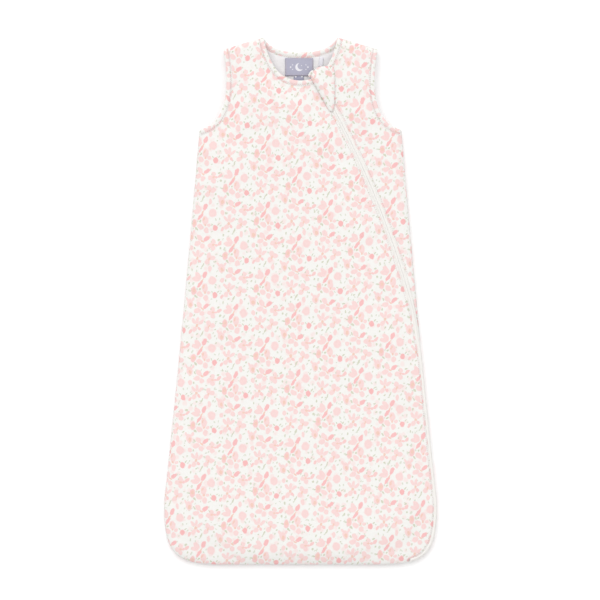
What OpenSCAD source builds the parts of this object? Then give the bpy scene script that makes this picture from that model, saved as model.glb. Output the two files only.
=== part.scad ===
// Baby sleeping bag, sleeveless, with a curved front zip.
// It lies flat on its back: +X is the viewer's right, +Y runs to the neck, +Z is up.
// The origin is the middle of the underside. All sizes are in millimetres.
//
// The front and the back are each three layers: printed shell, padding, plain lining.
// The zip runs from the neckline down across the front, then along the side seam.

/* [Bag outline] */
// Length from the neck points to the hem
bag_length = 792; // [780:1:800]
// Half of the distance between the neck points
neck_half = 55.5; // [53:0.5:58]
// Half of the width across the shoulder tips
shoulder_half = 116; // [114:1:118]
// How far the shoulder tips lie below the neck points
shoulder_drop = 18; // [14:1:20]
// Distance from the neck points down to the underarm
armhole_depth = 139; // [136:1:142]
// Half of the chest width at the underarm
chest_half = 151.5; // [149:0.5:153]
// Half of the widest width, low on the bag
hem_half = 204.75; // [203:0.25:207]
// Height of the widest place above the hem
hem_round = 95; // [90:1:100]
// Half of the straight stretch of the hem
hem_flat = 120; // [115:1:125]
// Depth of the front neckline below the neck points
front_neck_depth = 65; // [62:0.5:67]
// Depth of the back neckline below the neck points
back_neck_depth = 22; // [20:0.5:24]

/* [Layers] */
// Thickness of the printed shell
shell_t = 0.8; // [0.6:0.1:0.9]
// Thickness of the padding
padding_t = 1.5; // [1.2:0.1:1.6]
// Thickness of the lining
lining_t = 0.7; // [0.5:0.1:0.8]
// Clear height inside the bag
inside_h = 8; // [7.8:0.1:8.2]
// Width of the bindings at the neck and armholes
binding_w = 8.5; // [7.5:0.5:9]

/* [Zip] */
// Radius of the zip's curve across the front
zip_r = 1420; // [1400:10:1440]
// Slope of the zip at the neckline, from upright
zip_slope = 30.3; // [30:0.1:30.6]
// Top end of the zip, to the right of the middle
zip_top_x = 23; // [22:0.5:24]
// Length of the curve across the front
zip_front_run = 390; // [380:1:395]
// Half of the visible zip width
zip_half = 4.2; // [4:0.1:4.4]
// How far inside the edge the zip runs down the side
zip_inset = 5; // [5:0.1:5.5]
// Travel of the slider along the zip
slider_travel = 370; // [340:1:372]

/* [Front flap] */
// Where the flap's fold meets the neckline, left of the middle
fold_top_x = 44; // [42:1:46]
// Distance down the zip to the lower end of the fold
fold_end = 352; // [350:1:354]

/* [Zip cover] */
// Length of the cloth cover along the zip
cover_len = 58; // [50:1:60]
// Width of the cloth cover at the neckline
cover_w = 34; // [30:1:35]

/* [Labels] */
// Width of the woven label
label_w = 42; // [38:1:44]
// Height of the woven label
label_h = 27; // [25:1:28]

/* [Hidden] */

print_c = "mistyrose";
lining_c = "whitesmoke";
padding_c = "linen";
zip_c = "gainsboro";
label_c = "lavender";
metal_c = "silver";

// Heights, from the floor up
back_top = shell_t + padding_t + lining_t;
front_bottom = back_top + inside_h;
front_top = front_bottom + back_top;
seam_gap = 0.2;
seam_z = front_top / 2;
bind_t = 0.2;
bind_top = front_top + 0.4;
tape_t = 0.6;
tape_z = front_top - shell_t - tape_t;
coil_h = 2.2;
coil_z = tape_z - (coil_h - tape_t) / 2;

// Heights of the slider and of what lies on it
slider_z = coil_z - 1.5;
plate_t = 0.9;
slider_top = coil_z + coil_h + 1.3;
pivot_z = slider_top + 1;
bridge_top = pivot_z + 1.4;
cover_z = bridge_top + 0.3;
cover_t = 1;
guard_t = 0.6;
guard_z = slider_z - 0.3 - guard_t;

// Sizes across the zip
coil_in = 0.7;
coil_out = 2.7;
tape_out = 10;
seam_allowance = 10.3;
slider_half = 3.7;
slider_len = 10;
slider_rest = 8.3;
fit_gap = 0.3;

far = 440;
neck_y = bag_length / 2;
hem_y = -bag_length / 2;
underarm_y = neck_y - armhole_depth;
shoulder_y = neck_y - shoulder_drop;

// ---- curves ----

// Points of a Bezier curve
function bezier(a, b, c, d, n) = [for (i = [0:n]) let (t = i / n, r = 1 - t)
    r * r * r * a + 3 * r * r * t * b + 3 * r * t * t * c + t * t * t * d];
// A list of points without its first one
function rest_of(p) = [for (i = [1:len(p) - 1]) p[i]];
// The same points in the opposite order
function backwards(p) = [for (i = [len(p) - 1:-1:0]) p[i]];
// The other side of the bag, still running clockwise
function mirrored(p) = [for (q = backwards(p)) [-q[0], q[1]]];
// Direction of a path at one of its points
function heading(p, i) = let (v = p[min(i + 1, len(p) - 1)] - p[max(i - 1, 0)]) v / norm(v);
// A path moved sideways, to its left for a positive distance
function moved(p, d) = [for (i = [0:len(p) - 1]) let (v = heading(p, i)) p[i] + d * [-v[1], v[0]]];

armhole = bezier(
    [shoulder_half, shoulder_y],
    [shoulder_half - 6, shoulder_y - 33],
    [shoulder_half - 16, underarm_y + 13],
    [chest_half, underarm_y], 14);
side = bezier(
    [chest_half, underarm_y],
    [chest_half + 15.5, underarm_y - 182],
    [hem_half - 20.75, hem_y + hem_round + 186],
    [hem_half, hem_y + hem_round], 14);
corner = bezier(
    [hem_half, hem_y + hem_round],
    [hem_half + 0.25, hem_y + 21],
    [hem_half - 9.75, hem_y],
    [hem_flat, hem_y], 12);
shoulder = [[neck_half, neck_y], [shoulder_half, shoulder_y]];
// The armhole run on past the outline at both ends
armhole_long = concat(
    [armhole[0] - 6 * heading(armhole, 0)], armhole,
    [armhole[len(armhole) - 1] + 6 * heading(armhole, len(armhole) - 1)]);
right_low = concat(side, rest_of(corner));
low_edge = concat(right_low, mirrored(right_low));
outer_edge = concat(armhole, rest_of(low_edge), rest_of(mirrored(armhole)));

// Necklines run from the left neck point to the right one
function neckline(depth, round) = let (
    half = bezier([0, neck_y - depth], [round, neck_y - depth],
        [neck_half - 10, neck_y - depth * 0.78], [neck_half, neck_y], 12))
    concat(mirrored(half), rest_of(half));
front_neck = neckline(front_neck_depth, 25);
back_neck = neckline(back_neck_depth, 26);

// The zip's curve: a point at a distance down from its top, and the angle across it there
zip_top_y = neck_y - front_neck_depth + 6;
zip_centre = [zip_top_x, zip_top_y] - zip_r * [cos(zip_slope), sin(zip_slope)];
function zip_angle(s) = zip_slope - s / zip_r * 180 / PI;
function zip_point(s) = zip_centre + zip_r * [cos(zip_angle(s)), sin(zip_angle(s))];

zip_front = [for (i = [-3:26]) zip_point(i * zip_front_run / 26)];
zip_side_end = hem_half - 41;
zip_side_from = zip_point(zip_front_run)[1] - 36;
zip_side = [for (p = moved(right_low, -zip_inset))
    if (p[1] < zip_side_from && (p[0] > zip_side_end)) p];
zip_line = concat(zip_front, zip_side);
zip_end = zip_line[len(zip_line) - 1];
zip_end_dir = heading(zip_line, len(zip_line) - 1);
// The slot in the cloth runs a little past the end of the zip
slot_line = concat(zip_line, [zip_end + 3 * zip_end_dir]);
slot_foot = [zip_end[0] - 3.5, -far];

// The fold line of the front flap
fold_a = [-fold_top_x, neck_y - 34];
fold_b = zip_point(fold_end);
fold_dir = (fold_b - fold_a) / norm(fold_b - fold_a);

// ---- flat regions ----

// A strip beside a path, between two sideways distances
module strip(path, d0, d1) {
    polygon(concat(moved(path, d0), backwards(moved(path, d1))));
}
module layer(z, t) {
    translate([0, 0, z]) linear_extrude(t) children();
}
module both_sides() {
    children();
    mirror([1, 0]) children();
}
module left_of_zip(d) {
    polygon(concat(moved(slot_line, -d), [slot_foot, [-far, -far], [-far, far], [zip_front[0][0], far]]));
}
module right_of_zip(d) {
    polygon(concat(moved(slot_line, d), [slot_foot, [far, -far], [far, far], [zip_front[0][0], far]]));
}
// The flap's side of the fold line, moved by a distance away from the fold
module beyond_fold(d) {
    out = [-fold_dir[1], fold_dir[0]];
    a = fold_a + d * out;
    b = fold_b + d * out + 60 * fold_dir;
    polygon([a, b, b + 300 * out, a + 300 * out]);
}
module before_fold(d) {
    difference() {
        square(3 * far, center = true);
        beyond_fold(-d);
    }
}
// Everything above a line that runs along a neckline, a distance into the cloth
module above_neck(neck, d) {
    line = moved(neck, -d);
    polygon(concat(line, [[line[len(line) - 1][0], far], [line[0][0], far]]));
}
module outline(neck) {
    polygon(concat(neck, outer_edge));
}
// The stretches along the neck and the armholes that the bindings take up
module bound_edges(neck) {
    bound = binding_w + 0.1;
    above_neck(neck, bound);
    both_sides() strip(armhole_long, -bound, 20);
}
// The outline of the front or the back, between the bindings
module panel(neck, edge_gap) {
    difference() {
        polygon(concat(neck, moved(outer_edge, -edge_gap)));
        both_sides() strip(shoulder, -edge_gap, 20);
        bound_edges(neck);
    }
}
inner_gap = 1.3;
module front_outer() { panel(front_neck, 0); }
module front_inner() { panel(front_neck, inner_gap); }
module back_outer() { panel(back_neck, 0); }
module back_inner() { panel(back_neck, inner_gap); }
// The standing edge of a shell, along the shoulders, sides and hem
module edge_wall(neck) {
    difference() {
        union() {
            strip(low_edge, -shell_t, 0);
            both_sides() strip(shoulder, -shell_t - 0.2, 0);
        }
        bound_edges(neck);
    }
}
// The front cloth in its three pieces, each kept back from the middle of the zip
module main_part(zip_gap) {
    intersection() {
        children();
        left_of_zip(zip_gap);
        before_fold(0);
    }
}
module flap_part(zip_gap) {
    intersection() {
        children();
        left_of_zip(zip_gap);
        beyond_fold(fit_gap);
    }
}
module side_part(zip_gap) {
    intersection() {
        children();
        right_of_zip(zip_gap);
    }
}

// ---- three layers: back ----

module back_shell() color(print_c) {
    layer(0, shell_t) back_outer();
    layer(0, seam_z - seam_gap) edge_wall(back_neck);
}
module back_padding() color(padding_c) layer(shell_t, padding_t) back_inner();
module back_lining() color(lining_c) layer(shell_t + padding_t, lining_t) back_inner();

// ---- three layers: front, in three pieces ----

module front_shell() color(print_c) {
    layer(front_top - shell_t, shell_t) main_part(zip_half) front_outer();
    layer(seam_z, front_top - seam_z) main_part(zip_half) edge_wall(front_neck);
}
module front_padding() color(padding_c) layer(front_bottom + lining_t, padding_t)
    main_part(seam_allowance) front_inner();
module front_lining() color(lining_c) layer(front_bottom, lining_t)
    main_part(seam_allowance) front_inner();
module side_shell() color(print_c) {
    layer(front_top - shell_t, shell_t) side_part(zip_half) front_outer();
    layer(seam_z, front_top - seam_z) side_part(zip_half) edge_wall(front_neck);
}
// Below the front curve the strip beside the zip is too narrow for padding
module side_inner() {
    intersection() {
        side_part(seam_allowance) front_inner();
        square(far);
    }
}
module side_padding() color(padding_c) layer(front_bottom + lining_t, padding_t) side_inner();
module side_lining() color(lining_c) layer(front_bottom, lining_t) side_inner();
module flap_shell() color(print_c) layer(front_top - shell_t, shell_t)
    flap_part(zip_half) front_outer();
module flap_padding() color(padding_c) layer(front_bottom + lining_t, padding_t)
    flap_part(seam_allowance) front_inner();
module flap_lining() color(lining_c) layer(front_bottom, lining_t)
    flap_part(seam_allowance) front_inner();

// ---- bindings ----

module neck_strip(neck) {
    intersection() {
        outline(neck);
        strip(neck, -binding_w, 0);
    }
}
module front_bind() { layer(front_bottom - bind_t, bind_top - front_bottom + bind_t) children(); }
module back_bind() { layer(0, back_top + bind_t) children(); }

module neck_binding() color(print_c) {
    post_h = 5;
    back_bind() neck_strip(back_neck);
    front_bind() main_part(zip_half) neck_strip(front_neck);
    front_bind() side_part(zip_half) neck_strip(front_neck);
    // The front meets the back at the neck points
    layer(0, bind_top) intersection() {
        neck_strip(front_neck);
        neck_strip(back_neck);
        translate([-far, neck_y - post_h]) square([2 * far, post_h]);
    }
}
module neck_binding_flap() color(print_c) front_bind() flap_part(zip_half) neck_strip(front_neck);
module armhole_strip() {
    intersection() {
        outline(front_neck);
        strip(armhole_long, -binding_w, 0);
    }
}
module armhole_binding() {
    end_h = 3;
    front_bind() armhole_strip();
    back_bind() armhole_strip();
    // The front meets the back at the shoulder tip and under the arm
    layer(0, bind_top) intersection() {
        armhole_strip();
        union() {
            translate([0, shoulder_y - end_h]) square([far, 2 * end_h]);
            translate([0, underarm_y - 3 * end_h]) square([far, 3.5 * end_h]);
        }
    }
}
module armhole_binding_right() color(print_c) armhole_binding();
module armhole_binding_left() color(print_c) mirror([1, 0]) armhole_binding();

// ---- zip ----

// A frame on the zip: X across it, Y up it, at a distance down from its top
module on_zip(s) {
    translate(zip_point(s)) rotate(zip_angle(s)) children();
}
module inside_wall() { polygon(moved(outer_edge, -shell_t - 0.2)); }

stop_s = 2;
stop_len = 2.2;
// The flap's coil starts this far beyond the fold
coil_end = 4;
module tape(d0, d1) {
    difference() {
        intersection() {
            strip(zip_line, d0, d1);
            inside_wall();
        }
        above_neck(front_neck, 1);
        // The neck binding is sewn over the tape, up to the slot
        difference() {
            above_neck(front_neck, binding_w + 0.1);
            strip(zip_line, -zip_half + 0.1, zip_half - 0.1);
        }
    }
}
module coil(side) {
    difference() {
        strip(zip_line, side * coil_in, side * coil_out);
        on_zip(stop_s + stop_len / 2 + 0.1) translate([-6, 0]) square([12, 60]);
    }
}
module zip_tape_side() color(zip_c) layer(tape_z, tape_t) tape(coil_out, tape_out);
module zip_coil_side() color(zip_c) layer(coil_z, coil_h) coil(1);
module zip_tape_lower() color(zip_c) layer(tape_z, tape_t) intersection() {
    tape(-tape_out, -coil_out);
    before_fold(0);
}
module zip_coil_lower() color(zip_c) layer(coil_z, coil_h) intersection() {
    coil(-1);
    before_fold(-coil_end + fit_gap);
}
module zip_tape_flap() color(zip_c) layer(tape_z, tape_t) intersection() {
    tape(-tape_out, -coil_out);
    beyond_fold(fit_gap);
}
module zip_coil_flap() color(zip_c) layer(coil_z, coil_h) intersection() {
    coil(-1);
    beyond_fold(coil_end);
}
// The stops stand a little above and below the coil
stop_over = 0.3;
module stop_block(w, l) {
    translate([0, 0, coil_z - stop_over]) linear_extrude(coil_h + 2 * stop_over) square([w, l], center = true);
}
module top_stop(side) {
    on_zip(stop_s) translate([side * (coil_in + coil_out) / 2, 0]) stop_block(coil_out - coil_in - 0.1, stop_len);
}
module zip_top_stop_side() color(zip_c) top_stop(1);
module zip_top_stop_flap() color(zip_c) top_stop(-1);
module zip_bottom_stop() color(zip_c) translate(zip_end)
    rotate(atan2(zip_end_dir[1], zip_end_dir[0])) translate([1.2, 0]) stop_block(2, 6);
// The strip of lining behind the zip that keeps it off the baby
module zip_guard() color(lining_c) layer(guard_z, guard_t) intersection() {
    difference() {
        strip(zip_line, -12, 12);
        above_neck(front_neck, 1);
    }
    inside_wall();
}

// ---- cloth cover of the zip's top ----

cover_hinge_v = -1.5;
module zip_cover() color(print_c) on_zip(0) {
    roll_r = 0.6;
    translate([0, 0, cover_z]) linear_extrude(cover_t) polygon([
        [-6.5, -cover_hinge_v - 0.3],
        [cover_w - 6.5, -cover_hinge_v - 0.3],
        [cover_w / 2 - 0.5, -cover_len / 2 + 2],
        [3, -cover_len + 8],
        [-2.5, -cover_len],
        [-7, -cover_len]]);
    translate([-6.5, -cover_hinge_v, bridge_top]) rotate([0, 90, 0]) cylinder(r = roll_r, h = cover_w, $fn = 24);
}
// The sewn-down root of the cover, wrapped over the end of the neck binding
module zip_cover_base() color(print_c) on_zip(0)
    translate([0, 0, bind_top]) linear_extrude(bridge_top - 1 - bind_top)
        polygon([[-7, 1], [-5, 1], [2.5, 9], [0, 11], [-10, 6.5]]);

// ---- slider and pull ----

module slider_outline() {
    polygon([
        [-slider_half, slider_len / 2 - 2], [-slider_half + 1.6, slider_len / 2],
        [slider_half - 1.6, slider_len / 2], [slider_half, slider_len / 2 - 2],
        [slider_half - 0.5, -slider_len / 2], [-slider_half + 0.5, -slider_len / 2]]);
}
module slider_flange(z, h) {
    both_sides() translate([slider_half - 0.7, -slider_len / 2, z]) linear_extrude(h)
        square([0.5, slider_len - 2]);
}
module slider_body() color(metal_c) on_zip(slider_rest) {
    top_z = slider_top - plate_t;
    post_w = 0.7;
    translate([0, 0, slider_z]) linear_extrude(plate_t) slider_outline();
    translate([0, 0, top_z]) linear_extrude(plate_t) slider_outline();
    slider_flange(slider_z, tape_z - fit_gap - slider_z);
    slider_flange(tape_z + tape_t + fit_gap, top_z - tape_z - tape_t - fit_gap);
    translate([-post_w / 2, slider_len / 2 - 3, slider_z]) cube([post_w, 2.5, slider_top - slider_z]);
}
bridge_w = 1.8;
bridge_len = 8.4;
module slider_bridge() color(metal_c) on_zip(slider_rest) {
    foot = 1.2;
    bar_t = 0.6;
    for (y = [-bridge_len / 2, bridge_len / 2 - foot])
        translate([-bridge_w / 2, y, slider_top]) cube([bridge_w, foot, bridge_top - slider_top]);
    translate([-bridge_w / 2, -bridge_len / 2, bridge_top - bar_t]) cube([bridge_w, bridge_len, bar_t]);
}
pull_half = 2.6;
pull_gap = 1.3;
pin_r = 0.45;
module pull_pin() color(metal_c) on_zip(slider_rest)
    translate([-pull_half, 0, pivot_z]) rotate([0, 90, 0]) cylinder(r = pin_r, h = 2 * pull_half, $fn = 20);
module pull_tab() color(metal_c) on_zip(slider_rest) {
    tab_t = 1;
    arm = 6.5;
    tab_len = 26;
    translate([0, 0, pivot_z - tab_t / 2]) linear_extrude(tab_t) difference() {
        union() {
            translate([-pull_half, -tab_len + pull_half]) square([2 * pull_half, tab_len - pull_half - 0.6]);
            translate([0, -tab_len + pull_half]) circle(r = pull_half, $fn = 32);
        }
        translate([-pull_gap, -arm]) square([2 * pull_gap, arm + 1]);
    }
}

// ---- labels inside the back neck ----

label_z = back_top + 0.6;
module woven_label() color(label_c) layer(label_z, 0.5)
    translate([-2, neck_y - back_neck_depth - binding_w - label_h / 2 + 0.5])
        square([label_w, label_h], center = true);
module size_label() color(label_c) layer(back_top + 0.05, 0.5)
    translate([-8, neck_y - 66]) square([13, 12]);
module care_label() color("white") layer(back_top + 0.05, 0.5)
    translate([31, neck_y - 36.5]) rotate(-6) square([6.5, 15], center = true);

back_shell();
back_padding();
back_lining();
front_shell();
front_padding();
front_lining();
side_shell();
side_padding();
side_lining();
neck_binding();
armhole_binding_left();
armhole_binding_right();
zip_tape_side();
zip_coil_side();
zip_tape_lower();
zip_coil_lower();
zip_top_stop_side();
zip_bottom_stop();
zip_guard();
woven_label();
size_label();
care_label();
flap_shell();
flap_padding();
flap_lining();
neck_binding_flap();
zip_tape_flap();
zip_coil_flap();
zip_top_stop_flap();
zip_cover_base();
zip_cover();
slider_body();
slider_bridge();
pull_pin();
pull_tab();
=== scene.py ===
import math

import bmesh
import bpy
import numpy as np
from mathutils import Vector, Matrix, geometry, noise
from mathutils.bvhtree import BVHTree


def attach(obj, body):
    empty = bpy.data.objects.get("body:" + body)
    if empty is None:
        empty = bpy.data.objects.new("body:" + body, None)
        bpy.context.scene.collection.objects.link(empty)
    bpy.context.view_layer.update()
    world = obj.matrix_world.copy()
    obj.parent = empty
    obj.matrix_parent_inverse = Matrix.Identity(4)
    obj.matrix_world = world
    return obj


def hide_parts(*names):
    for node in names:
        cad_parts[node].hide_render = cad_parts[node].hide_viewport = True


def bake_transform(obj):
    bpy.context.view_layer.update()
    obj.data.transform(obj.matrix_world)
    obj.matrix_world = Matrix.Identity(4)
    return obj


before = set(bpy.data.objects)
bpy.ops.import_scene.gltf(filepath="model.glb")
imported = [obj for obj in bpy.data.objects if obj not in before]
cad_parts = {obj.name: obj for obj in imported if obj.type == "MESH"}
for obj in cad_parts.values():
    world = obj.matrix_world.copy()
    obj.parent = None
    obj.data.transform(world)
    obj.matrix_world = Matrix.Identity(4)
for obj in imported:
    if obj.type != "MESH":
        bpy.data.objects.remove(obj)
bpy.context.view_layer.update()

MM = 0.001
scene = bpy.context.scene


def linked(name, data):
    obj = bpy.data.objects.new(name, data)
    scene.collection.objects.link(obj)
    return obj


# ------------------------------------------------------------------ camera
# Straight down on the bag, as in the photograph: 1.5 mm to a pixel, 900 mm across the picture.
camera_data = bpy.data.cameras.new("camera")
camera_data.sensor_width = 36
camera_data.lens = 36 * 3.985 / 0.9
camera_data.clip_end = 50
camera = linked("camera", camera_data)
camera.location = (-0.00075, 0.0015, 4.0)
scene.camera = camera

# ------------------------------------------------------------------ sizes, in mm, as in the CAD
NECK_Y = 396.0
NECK_HALF = 55.5
SHOULDER = (116.0, 378.0)
UNDERARM = (151.5, 257.0)
HEM_HALF = 204.75
HEM_Y = -396.0
SEAM_Z = 7.0
TOP_Z = 14.0
BIND_W = 8.8
PAD_T = 2.2
LINING_T = 0.6
ZIP_R = 1420.0
ZIP_SLOPE = math.radians(30.3)
ZIP_TOP = np.array([23.0, 337.0])
ZIP_FRONT = 390.0         # length of the zip's curved part
ZIP_HALF = 4.4
ZIP_INSET = 0.9           # how far in from the seam the zip's lower part runs
FOLD_A = np.array([-44.0, 362.0])
FOLD_OUT = np.array([0.861101, 0.508433])


def bezier(a, b, c, d, n):
    t = np.linspace(0, 1, n + 1)[:, None]
    a, b, c, d = (np.array(q, float) for q in (a, b, c, d))
    return (1 - t) ** 3 * a + 3 * (1 - t) ** 2 * t * b + 3 * (1 - t) * t * t * c + t ** 3 * d


def mirrored(p):
    return p[::-1] * [-1, 1]


def joined(*paths):
    out = [paths[0]]
    for p in paths[1:]:
        out.append(p[1:] if np.linalg.norm(out[-1][-1] - p[0]) < 1e-6 else p)
    return np.vstack(out)


def closed(loop):
    return np.vstack([loop, loop[:1]])


def lengths(p):
    return np.concatenate([[0], np.cumsum(np.linalg.norm(np.diff(p, axis=0), axis=1))])


def at_length(t, s, p):
    """The points of a path p at lengths t, where s are the lengths of its own points."""
    return np.stack([np.interp(t, s, p[:, k]) for k in range(p.shape[1])], -1)


def resampled(p, step):
    s = lengths(p)
    n = max(2, int(round(s[-1] / step)) + 1)
    return at_length(np.linspace(0, s[-1], n), s, p)


def headings(p):
    v = np.gradient(p, axis=0)
    return v / np.maximum(np.linalg.norm(v, axis=1), 1e-9)[:, None]


def leftward(p):
    h = headings(p)
    return np.stack([-h[:, 1], h[:, 0]], 1)


def moved(p, d):
    """The path moved to its left by d."""
    return p + leftward(p) * d


armhole_r = bezier(SHOULDER, (110, 345), (100, 270), UNDERARM, 48)
side_r = bezier(UNDERARM, (167, 75), (184, -115), (HEM_HALF, -301), 90)
corner_r = bezier((HEM_HALF, -301), (205, -375), (195, HEM_Y), (120, HEM_Y), 48)
low_r = joined(side_r, corner_r)
low_edge = resampled(joined(low_r, mirrored(low_r)), 4)
shoulder_r = np.array([[NECK_HALF, NECK_Y], SHOULDER], float)
front_half = bezier((0, 331), (25, 331), (45.5, 345.3), (NECK_HALF, NECK_Y), 40)
back_half = bezier((0, 374), (26, 374), (45.5, 378.84), (NECK_HALF, NECK_Y), 40)
front_neck = joined(mirrored(front_half), front_half)
back_neck = joined(mirrored(back_half), back_half)
shoulder_l = mirrored(shoulder_r)
armhole_l = mirrored(armhole_r)
FRONT_LOOP = joined(front_neck, shoulder_r, armhole_r, low_r, mirrored(low_r), armhole_l, shoulder_l)[:-1]


# ------------------------------------------------------------------ distances and heights
def nearest(p, path):
    """For each point: the distance to a path, the nearest place on it, and which stretch that is."""
    p = np.atleast_2d(p)
    a, b = path[:-1], path[1:]
    ab = b - a
    best = np.full(len(p), 1e9)
    spot = np.zeros((len(p), 2))
    which = np.zeros(len(p), int)
    for k in range(len(a)):
        t = np.clip(((p - a[k]) @ ab[k]) / max(ab[k] @ ab[k], 1e-12), 0, 1)
        q = a[k] + t[:, None] * ab[k]
        d = np.hypot(*(p - q).T)
        m = d < best
        best[m], spot[m], which[m] = d[m], q[m], k
    return best, spot, which


def smooth(t):
    t = np.clip(t, 0, 1)
    return t * t * (3 - 2 * t)


def roll_radius(q, on_shoulder):
    """How far in from a sewn edge the cloth has rolled up to full height."""
    side = np.where(q[:, 0] > 0, 9 + 3 * smooth((q[:, 1] - 60) / 120), 13.0)
    r = side + (21 - side) * smooth((-q[:, 1] - 300) / 90)
    return np.where(on_shoulder, 9.0, r)


def edge_facts(p):
    """Distance to the nearest sewn edge, the nearest place on it, and the radius of the roll there."""
    d, q, _ = nearest(p, low_edge)
    on_shoulder = np.zeros(len(d), bool)
    for s in (shoulder_r, shoulder_l):
        d2, q2, _ = nearest(p, s)
        m = d2 < d
        d, q, on_shoulder = np.where(m, d2, d), np.where(m[:, None], q2, q), on_shoulder | m
    return d, q, roll_radius(q, on_shoulder)


def profile(w):
    return np.sqrt(np.clip(1 - (1 - np.clip(w, 0, 1)) ** 2, 0, 1))


ARC_TABLES = {}


def arc_table(r, h):
    """Over a rolled edge r wide and h high: the angle, and the distance over the cloth from the seam."""
    r = round(float(r), 1)
    if (r, h) not in ARC_TABLES:
        th = np.linspace(0, math.pi / 2, 60)
        d, z = r * (1 - np.cos(th)), h * np.sin(th)
        ARC_TABLES[r, h] = th, np.concatenate([[0], np.cumsum(np.hypot(np.diff(d), np.diff(z)))])
    return ARC_TABLES[r, h]


GRID = 5.0
GX = np.arange(-225.0, 226.0, GRID)
GY = np.arange(-410.0, 411.0, GRID)
puff_grid = np.zeros((len(GX), len(GY)))


def puff(p):
    """How far the padding lifts the front at each point."""
    fx = np.clip((p[:, 0] - GX[0]) / GRID, 0, len(GX) - 1.001)
    fy = np.clip((p[:, 1] - GY[0]) / GRID, 0, len(GY) - 1.001)
    i, j = fx.astype(int), fy.astype(int)
    u, v = fx - i, fy - j
    g = puff_grid
    return (g[i, j] * (1 - u) * (1 - v) + g[i + 1, j] * u * (1 - v)
            + g[i, j + 1] * (1 - u) * v + g[i + 1, j + 1] * u * v)


def noises(p, *scales):
    """Noise at each point, for one scale or more: (weight, how to get its three coordinates)."""
    return np.array([sum(w * noise.noise(Vector(place(x, y))) for w, place in scales) for x, y in p])


def creases(p):
    """Soft shallow waves in the cloth, at the sizes a padded bag shows when it is laid down."""
    return noises(p, (0.75, lambda x, y: (x / 75, y / 120, 3.1)),
                  (0.42, lambda x, y: ((x + 0.35 * y) / 34, (y - 0.3 * x) / 62, 9.7)),
                  (0.10, lambda x, y: (x / 15, y / 19, 5.5)))


def pucker(p, q, d):
    """Small gathers that the seam pulls into the rolled edge."""
    near = d < 26
    out = np.zeros(len(p))
    along = noises(q[near], (0.85, lambda x, y: (x / 8.5, y / 8.5, 1.3)))
    out[near] = along * np.exp(-((d[near] - 7) / 8.5) ** 2)
    return out


def front_z(p, drop=0.0, puffed=True):
    """Height of the front cloth's upper face, or of a layer a distance below it."""
    d, q, r = edge_facts(p)
    full = np.full(len(p), TOP_Z - drop)
    if puffed:
        full = full + puff(p) + pucker(p, q, d)
    return SEAM_Z + (full - SEAM_Z) * profile((d - 0.35 * drop) / r)


def back_z(p, rise=0.0):
    """Height of the back cloth's lower face, or of a layer a distance above it."""
    d, _, r = edge_facts(p)
    return SEAM_Z - (SEAM_Z - rise) * profile((d - 0.35 * rise) / r)


# ------------------------------------------------------------------ the zip's line
def zip_angle(s):
    return ZIP_SLOPE - np.asarray(s, float) / ZIP_R


ZIP_CENTRE = ZIP_TOP - ZIP_R * np.array([math.cos(ZIP_SLOPE), math.sin(ZIP_SLOPE)])


def zip_arc(s):
    a = zip_angle(s)
    return ZIP_CENTRE + ZIP_R * np.stack([np.cos(a), np.sin(a)], -1)


# The curve down the front, then along the side seam and round the corner, with an easy bend between
ABOVE_TOP = 8.0
bend = zip_arc(ZIP_FRONT)
run = moved(resampled(low_r, 2), -ZIP_INSET)
run = run[(run[:, 1] < bend[1] - 60) & (run[:, 0] > 163.5)]
zip_path = resampled(np.vstack([zip_arc(np.arange(-ABOVE_TOP, ZIP_FRONT, 2.0)), run]), 2.0)
for _ in range(40):
    soft = zip_path.copy()
    soft[1:-1] = (zip_path[:-2] + 2 * zip_path[1:-1] + zip_path[2:]) / 4
    mix = smooth((90 - np.linalg.norm(zip_path - bend, axis=1)) / 60)[:, None]
    zip_path = zip_path * (1 - mix) + soft * mix
zip_s = lengths(zip_path) - ABOVE_TOP
zip_n = leftward(zip_path)
ZIP_END = zip_s[-1]
zip_d, _, zip_roll = edge_facts(zip_path)


def zip_place(s, v, h):
    """A point on the zip in mm: s down from its top, v to its right, h above the cloth's upper face.
    Where the zip lies on the rolled edge, v runs over the roll and h stands out from it."""
    s, v, h = (q.ravel() for q in np.broadcast_arrays(*(np.asarray(q, float) for q in (s, v, h))))
    p = at_length(s, zip_s, zip_path)
    n = at_length(s, zip_s, zip_n)
    n /= np.linalg.norm(n, axis=1)[:, None]
    d0 = np.interp(s, zip_s, zip_d)
    r = np.interp(s, zip_s, zip_roll)
    top = TOP_Z - SEAM_Z
    across = np.zeros(len(s))
    z = np.zeros(len(s))
    for i in range(len(s)):
        if d0[i] - abs(v[i]) > r[i] + 1:
            across[i], z[i] = v[i], TOP_Z + h[i]
            continue
        th, arc = arc_table(r[i], top)
        flat = arc[-1] - r[i]
        t0 = d0[i] + flat if d0[i] >= r[i] else np.interp(math.acos(1 - d0[i] / r[i]), th, arc)
        t = t0 - v[i]
        if t >= arc[-1]:
            d, zz, nx, nz = t - flat, top, 0.0, 1.0
        else:
            a = np.interp(t, arc, th)
            d, zz = r[i] * (1 - math.cos(a)), top * math.sin(a) + min(t, 0)
            nx, nz = -math.cos(a) / r[i], math.sin(a) / top
            k = math.hypot(nx, nz)
            nx, nz = nx / k, nz / k
        across[i] = d0[i] - d - nx * h[i]
        z[i] = SEAM_Z + zz + nz * h[i]
    return np.column_stack([p + n * across[:, None], z])


# ------------------------------------------------------------------ mesh tools
def inside(p, loop):
    odd = np.zeros(len(p), bool)
    for (x0, y0), (x1, y1) in zip(loop, np.roll(loop, -1, axis=0)):
        m = (y0 > p[:, 1]) != (y1 > p[:, 1])
        if m.any():
            odd[m] ^= p[m, 0] < (x1 - x0) * (p[m, 1] - y0) / (y1 - y0) + x0
    return odd


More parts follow.
